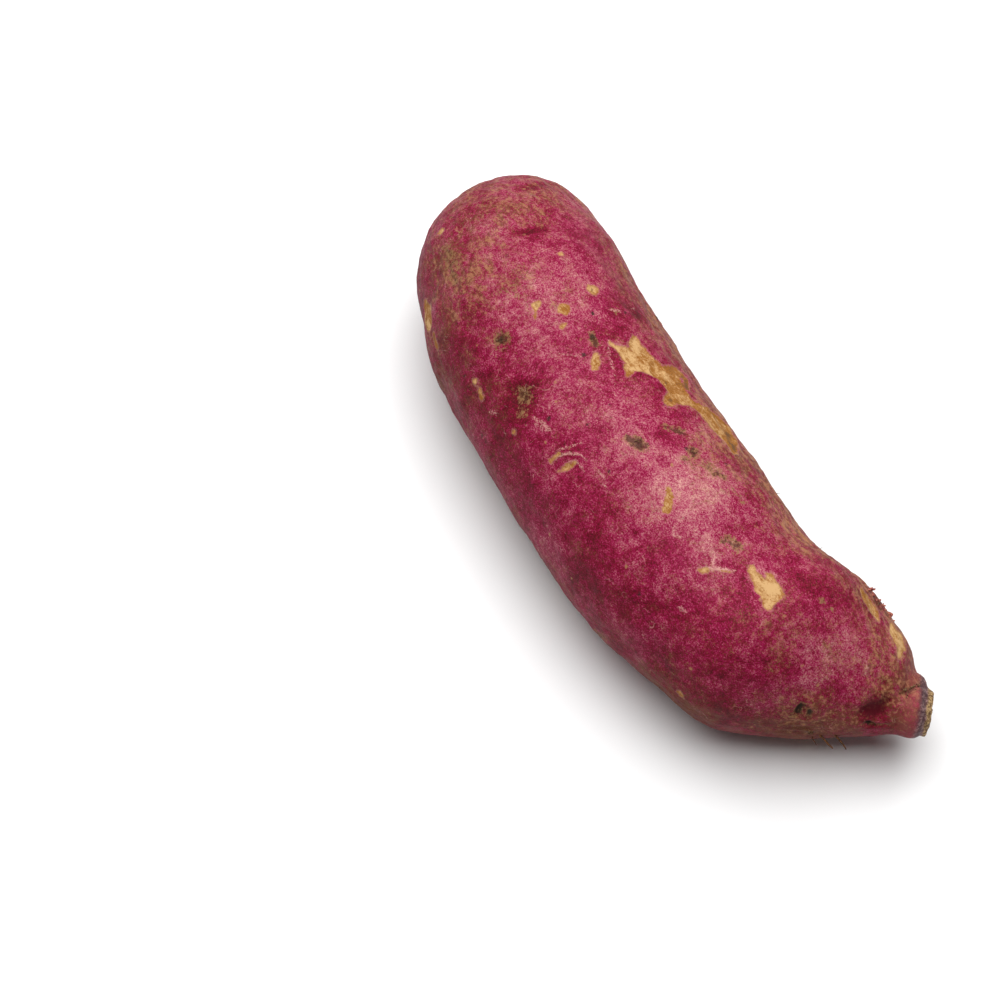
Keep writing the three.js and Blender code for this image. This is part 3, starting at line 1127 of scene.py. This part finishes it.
    def _stem(self, bench: NodeBench, colour: Socket) -> Socket:
        """The grey band behind the cut, and the dry cut face.

        Args:
            bench: The material's nodes.
            colour: The marked skin's colour.

        Returns:
            The whole root's colour.
        """
        behind = bench.total(bench.field("stem"), bench.wave(2.2, 1.4, 4.0, 0.7, shift=8.0))
        colour = bench.mix(bench.between(behind, 9.5, 4.0, 0.0, 0.35), colour, self.neck)
        fibres = bench.total(bench.noise(1.1, 3.0, 0.7, shift=14.0), bench.speckle(0.35, 0.7, 0.15, 15.0))
        grey = bench.mix(bench.between(fibres, 0.44, 0.72), self.band, self.band_fibre)
        colour = bench.mix(bench.between(behind, 4.0, 2.6, 0.0, 0.88), colour, grey)
        edge = bench.between(bench.noise(0.7, 4.0, 0.75, shift=3.0), 0.42, 0.6)
        colour = bench.mix(bench.between(behind, 1.5, 1.0), colour, bench.mix(edge, self.bark, self.rim))
        wood = bench.total(bench.noise(1.3, 4.0, 0.75, shift=23.0), bench.speckle(0.4, 0.5, 0.1, 24.0))
        pith = bench.mix(bench.between(wood, 0.34, 0.7), self.dry_wood, self.pith)
        pith = bench.mix(bench.between(behind, -2.6, -4.0, 0.0, 0.6), pith, self.bark)
        return bench.mix(bench.between(behind, -0.2, -1.0), colour, pith)


@dataclass(frozen=True)
class BitFinish:
    """Dry loose matter: rough, and mottled between two colours."""

    name: str
    dark: Colour
    light: Colour

    def material(self) -> bpy.types.Material:
        """Build the finish."""
        bench = NodeBench(self.name)
        mottle = bench.between(bench.noise(0.5, 4.0, 0.75, shift=6.0), 0.38, 0.62)
        relief = bench.bump(bench.noise(0.25, 3.0, 0.7), 0.6, 0.08)
        bench.surface(bench.mix(mottle, self.dark, self.light), 0.85, 0.15, relief)
        return bench.material


DRY_ROOT = BitFinish("dry_root", (0.05, 0.017, 0.008), (0.2, 0.085, 0.03))
DRY_FLAKE = BitFinish("dry_flake", (0.15, 0.015, 0.025), (0.5, 0.19, 0.13))
DRY_SOIL = BitFinish("dry_soil", (0.05, 0.022, 0.012), (0.22, 0.12, 0.06))


# ------------------------------------------------------------------------------------------- clinging bits


@dataclass(frozen=True)
class Hair:
    """One thin hair root, with its start on the skin and the way it heads."""

    along: float
    around: float
    length: float
    thickness: float
    lean: Triple  # added to the skin's direction outwards
    droop: float = 0.1


@dataclass
class HairRoots(SubAssembly):
    """The thin broken roots that still hang on the skin."""

    sides: int = 6
    joints: int = 7
    buried: float = 0.7
    tip_share: float = 0.45
    sway: float = 0.35
    seed: int = 6
    hairs: tuple[Hair, ...] = (
        Hair(161.4, -104.0, 4.4, 0.3, (1.6, 1.0, 0.3)),
        Hair(163.6, -104.0, 4.2, 0.28, (1.5, 0.7, 0.2)),
        Hair(160.2, -108.0, 2.6, 0.15, (1.5, 0.4, 0.0)),
        Hair(6.2, -28.6, 1.6, 0.09, (-0.3, 0.2, 0.6)),
        Hair(60.6, 71.0, 1.2, 0.12, (-0.4, 0.2, 0.4)),
        Hair(113.0, 76.0, 1.5, 0.09, (0.5, 0.3, 0.4)),
        Hair(130.5, 66.0, 1.4, 0.09, (0.6, 0.3, 0.5)),
        Hair(147.0, 70.0, 1.8, 0.1, (0.8, 0.2, 0.5)),
        Hair(152.0, 74.0, 1.7, 0.1, (-0.6, 0.2, 0.3)),
        Hair(98.0, 150.0, 4.2, 0.16, (1.2, 0.3, 0.2)),
        Hair(74.0, -128.0, 3.4, 0.15, (-1.0, -0.3, 0.2)),
        Hair(140.0, 128.0, 3.0, 0.14, (1.0, 0.4, 0.2)),
    )

    def build(self) -> None:
        """Grow every hair."""
        noise.seed_set(self.seed)
        bm = bmesh.new()
        for hair in self.hairs:
            self._grow(bm, hair)
        bmesh.ops.recalc_face_normals(bm, faces=bm.faces)
        bm.transform(Matrix.Scale(MM, 4))
        self.dress(object_from("hair_roots", bm), DRY_ROOT.material())

    def _grow(self, bm: Mesh, hair: Hair) -> None:
        """Draw one hair out of its base, joint by joint, thinner towards its tip.

        Args:
            bm: The mesh that the hair joins, in millimetres.
            hair: The hair.
        """
        spot, out = self.root.place(hair.along, hair.around)
        heading = (out + Vector(hair.lean)).normalized()
        foot = Matrix.Translation(spot - out * self.buried)
        foot = foot @ heading.to_track_quat("Z", "Y").to_matrix().to_4x4()
        made = bmesh.ops.create_circle(
            bm, cap_ends=True, segments=self.sides, radius=hair.thickness, matrix=foot
        )
        cap = made["verts"][0].link_faces[0]
        shrink = self.tip_share ** (1.0 / self.joints)
        for joint in range(self.joints):
            grown = bmesh.ops.extrude_face_region(bm, geom=[cap])["geom"]
            cap = next(item for item in grown if isinstance(item, bmesh.types.BMFace))
            sway = noise.noise_vector(Vector((hair.along, joint * 0.9, hair.around))) * self.sway
            step = heading + sway - Vector((0.0, 0.0, hair.droop * joint))
            bmesh.ops.translate(bm, verts=cap.verts, vec=step * (hair.length / self.joints))
            middle = Matrix.Translation(-cap.calc_center_median())
            bmesh.ops.scale(bm, verts=cap.verts, vec=(shrink, shrink, shrink), space=middle)


@dataclass
class SkinFlakes(SubAssembly):
    """Small curled flakes of skin that lift from the shoulder."""

    count: int = 27
    first: Pair = (144.6, 67.0)  # along and around
    last: Pair = (152.5, 75.0)
    stray: float = 3.5  # degrees round the root
    size: Pair = (0.45, 1.3)
    thickness: float = 0.1
    seed: int = 8

    def build(self) -> None:
        """Cut, curl and plant every flake."""
        rng = random.Random(self.seed)
        bm = bmesh.new()
        for index in range(self.count):
            share = (index + rng.random()) / self.count
            along, around = (a + share * (b - a) for a, b in zip(self.first, self.last))
            self._plant(bm, rng, along, around + rng.uniform(-self.stray, self.stray))
        bmesh.ops.recalc_face_normals(bm, faces=bm.faces)
        bmesh.ops.solidify(bm, geom=bm.faces, thickness=self.thickness)
        bmesh.ops.recalc_face_normals(bm, faces=bm.faces)
        bm.transform(Matrix.Scale(MM, 4))
        self.dress(object_from("skin_flakes", bm), DRY_FLAKE.material())

    def _plant(self, bm: Mesh, rng: random.Random, along: float, around: float) -> None:
        """Make one flake and stand it on the skin.

        Args:
            bm: The mesh that it joins, in millimetres.
            rng: The source of its shape.
            along: Millimetres from the round tip.
            around: Degrees about the root.
        """
        spot, out = self.root.place(along, around)
        made = bmesh.ops.create_grid(bm, x_segments=3, y_segments=2, size=0.5)["verts"]
        long = rng.uniform(*self.size)
        wide = long * rng.uniform(0.35, 0.8)
        curl = rng.uniform(0.5, 1.4) * rng.choice((-1.0, 1.0))
        for vertex in made:
            x, y, _ = vertex.co
            ragged = rng.uniform(0.65, 1.2)
            vertex.co = (x * long * ragged, y * wide * ragged, curl * long * (x + 0.5) ** 2 * 0.6)
        lifted = out * rng.uniform(0.1, 0.8)
        aim = (lifted + Vector([rng.uniform(-1.0, 1.0) for _ in range(3)])).normalized()
        turn = aim.to_track_quat("X", "Z").to_matrix().to_4x4()
        bmesh.ops.transform(bm, matrix=Matrix.Translation(spot + aim * long * 0.35) @ turn, verts=made)


@dataclass(frozen=True)
class Bed:
    """A place where crumbs of soil have caught."""

    along: float
    around: float
    spread: float
    count: int
    radius: float


@dataclass
class SoilCrumbs(SubAssembly):
    """Crumbs of dry soil caught in the neck, at the cut, in the hollows and on the flaking shoulder."""

    seed: int = 21
    beds: tuple[Bed, ...] = (
        Bed(167.4, 34.0, 1.6, 14, 0.34),
        Bed(166.8, 48.0, 1.2, 8, 0.3),
        Bed(148.0, 70.0, 2.8, 8, 0.26),
        Bed(60.4, 69.2, 0.7, 6, 0.45),
        Bed(173.8, -30.0, 1.2, 9, 0.36),
        Bed(172.2, 62.0, 1.2, 6, 0.3),
        Bed(160.3, -92.0, 0.8, 6, 0.32),
        Bed(157.6, -61.0, 0.8, 5, 0.25),
        Bed(92.0, -3.0, 1.3, 9, 0.26),
        Bed(64.2, 8.0, 1.2, 8, 0.24),
        Bed(49.8, -35.5, 1.2, 6, 0.24),
        Bed(64.1, -39.5, 1.2, 7, 0.24),
        Bed(100.9, 20.0, 1.2, 6, 0.22),
        Bed(13.0, 14.0, 1.0, 3, 0.3),
    )

    def build(self) -> None:
        """Strew the crumbs over their beds."""
        rng = random.Random(self.seed)
        bm = bmesh.new()
        for bed in self.beds:
            for _ in range(bed.count):
                spot = self.root.place(bed.along, bed.around)[0]
                fallen = spot + Vector([rng.gauss(0.0, bed.spread * 0.5) for _ in range(3)])
                seat, out = self.root.tree.find_nearest(fallen)[:2]
                self._drop(bm, rng, seat + out * bed.radius * 0.1, bed.radius * rng.uniform(0.5, 1.25))
        bmesh.ops.recalc_face_normals(bm, faces=bm.faces)
        bm.transform(Matrix.Scale(MM, 4))
        self.dress(object_from("soil_crumbs", bm), DRY_SOIL.material())

    def _drop(self, bm: Mesh, rng: random.Random, place: Vector, radius: float) -> None:
        """Make one crumb.

        Args:
            bm: The mesh that it joins, in millimetres.
            rng: The source of its shape.
            place: Its middle.
            radius: Its rough radius.
        """
        made = bmesh.ops.create_icosphere(bm, subdivisions=1, radius=radius)["verts"]
        for vertex in made:
            vertex.co *= rng.uniform(0.6, 1.25)
        stretch = rng.uniform(0.7, 1.5), rng.uniform(0.6, 1.1), rng.uniform(0.5, 0.9), 1.0
        turn = Matrix.Rotation(rng.uniform(0.0, math.tau), 4, "Z")
        matrix = Matrix.Translation(place) @ turn @ Matrix.Diagonal(stretch)
        bmesh.ops.transform(bm, matrix=matrix, verts=made)


# -------------------------------------------------------------------------------------------------- set


@dataclass(frozen=True)
class Lamp:
    """A square soft light that looks at the root."""

    name: str
    place: Triple
    width: float
    power: float

    def hang(self) -> None:
        """Put the light in its place."""
        data = bpy.data.lights.new(self.name, "AREA")
        data.shape = "SQUARE"
        data.size = self.width * MM
        data.energy = self.power
        lamp = bpy.data.objects.new(self.name, data)
        lamp.location = Vector(self.place) * MM
        lamp.rotation_euler = (-Vector(self.place)).to_track_quat("-Z", "Y").to_euler()
        bpy.context.scene.collection.objects.link(lamp)


@dataclass
class Studio:
    """Pale floor and backdrop, soft daylight box overhead and the camera."""

    camera_place: Triple = (246.02, -222.09, 581.93)
    elevation: float = 60.0
    azimuth: float = 53.8
    lens: float = 100.0
    lamps: tuple[Lamp, ...] = (
        Lamp("overhead", (-140.0, 90.0, 900.0), 1150.0, 17.0),
        Lamp("front_fill", (420.0, -700.0, 500.0), 900.0, 0.2),
    )
    floor_size: float = 12000.0
    floor_colour: Colour = (0.92, 0.92, 0.92)
    glow_metres: Pair = (0.35, 1.6)  # the far floor glows to match the backdrop
    sky_light: float = 0.06
    backdrop: float = 0.85

    def build(self) -> None:
        """Make the camera, the floor, the lights and the world."""
        self._camera()
        self._floor()
        for lamp in self.lamps:
            lamp.hang()
        self._world()
        bpy.context.scene.view_settings.view_transform = "Standard"

    def _camera(self) -> None:
        """Place the camera, looking down on the root."""
        data = bpy.data.cameras.new("camera")
        data.lens = self.lens
        camera = bpy.data.objects.new("camera", data)
        camera.location = Vector(self.camera_place) * MM
        camera.rotation_euler = math.radians(90.0 - self.elevation), 0.0, math.radians(self.azimuth)
        bpy.context.scene.collection.objects.link(camera)
        bpy.context.scene.camera = camera

    def _floor(self) -> None:
        """Lay a pale floor under the root."""
        bm = bmesh.new()
        bmesh.ops.create_grid(bm, x_segments=1, y_segments=1, size=self.floor_size * MM / 2.0)
        floor = object_from("floor", bm)
        bench = NodeBench("pale_floor")
        distance = bench.add("ShaderNodeVectorMath", operation="LENGTH")
        bench.feed(distance.inputs[0], bench.coordinates)
        glow = bench.between(distance.outputs["Value"], *self.glow_metres, 0.0, self.backdrop)
        shader = bench.surface(self.floor_colour, 0.9, 0.1)
        bench.feed(shader.inputs["Emission Color"], (1.0, 1.0, 1.0))
        bench.feed(shader.inputs["Emission Strength"], glow)
        floor.data.materials.append(bench.material)

    def _world(self) -> None:
        """Give faint light from all round, and show the camera a pale backdrop."""
        world = bpy.data.worlds.new("studio")
        world.use_nodes = True
        nodes, links = world.node_tree.nodes, world.node_tree.links
        nodes["Background"].inputs["Color"].default_value = (1.0, 1.0, 1.0, 1.0)
        strength = nodes.new("ShaderNodeMapRange")
        strength.inputs["To Min"].default_value = self.sky_light
        strength.inputs["To Max"].default_value = self.backdrop
        links.new(nodes.new("ShaderNodeLightPath").outputs["Is Camera Ray"], strength.inputs["Value"])
        links.new(strength.outputs["Result"], nodes["Background"].inputs["Strength"])
        bpy.context.scene.world = world


def main() -> None:
    """Build the set, then the root."""
    logging.basicConfig(level=logging.INFO, format="%(message)s")
    Studio().build()
    root = PackedRoot()
    LOG.info("packed root is %.1f mm long", root.length)
    for sub_assembly in (Tuber, HairRoots, SkinFlakes, SoilCrumbs):
        sub_assembly(root).build()


if __name__ == "__main__":
    main()
